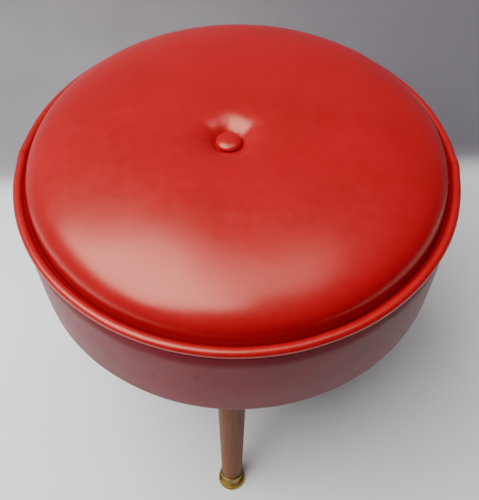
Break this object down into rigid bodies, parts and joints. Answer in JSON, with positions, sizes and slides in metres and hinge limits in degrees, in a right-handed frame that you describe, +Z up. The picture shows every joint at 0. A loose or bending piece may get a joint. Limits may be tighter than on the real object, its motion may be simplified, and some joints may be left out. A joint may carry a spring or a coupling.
{
  "type": "footstool",
  "caption": "Round padded drum footstool with a domed button-tufted seat, piped edge, plain side band and splayed tapered wooden legs ending in brass feet.",
  "frame": {"origin": "on the stool's upright axis at floor level, below the centre of the round seat", "axes": "+Z up along the axis of the round seat; -Y towards the front leg, +X to the right seen from the front"},
  "size_m": [0.38, 0.38, 0.3847],
  "materials": {
    "vinyl": "smooth red leathercloth with a soft sheen",
    "welt_vinyl": "smooth red leathercloth drawn tight over a cord",
    "side_vinyl": "smooth red leathercloth, lightly scuffed",
    "foam": "open-cell upholstery foam",
    "flock": "packed upholstery flock",
    "twine": "twisted waxed twine and cotton cord",
    "lining": "thin black woven lining",
    "hardboard": "bent hardboard",
    "board": "plain sawn board",
    "wood": "turned hardwood, mid-brown satin varnish",
    "brass": "pressed brass, dulled with age",
    "plated_steel": "zinc-plated steel",
    "blued_steel": "blued cut tacks"
  },
  "bodies": {
    "root": {"top_cover": "vinyl", "cushion_pad": "foam", "tuft_button": "vinyl", "button_loop": "plated_steel", "tuft_twine": "twine", "twine_washer": "plated_steel", "welt_front": "welt_vinyl", "welt_rear": "welt_vinyl", "welt_cord": "twine", "side_band_front": "side_vinyl", "side_band_rear": "side_vinyl", "side_padding": "foam", "side_hoop": "hardboard", "hoop_tacks": "blued_steel", "drum_filling": "flock", "base_board": "board", "hem_tacks": "blued_steel", "dust_cover": "lining", "cloth_tacks": "blued_steel", "plate_front": "plated_steel", "plate_right": "plated_steel", "plate_left": "plated_steel", "plate_screws": "plated_steel", "leg_bolt_front": "plated_steel", "leg_bolt_right": "plated_steel", "leg_bolt_left": "plated_steel", "leg_front": "wood", "leg_right": "wood", "leg_left": "wood", "foot_front": "brass", "foot_right": "brass", "foot_left": "brass", "foot_pins": "brass"}
  },
  "joints": []
}
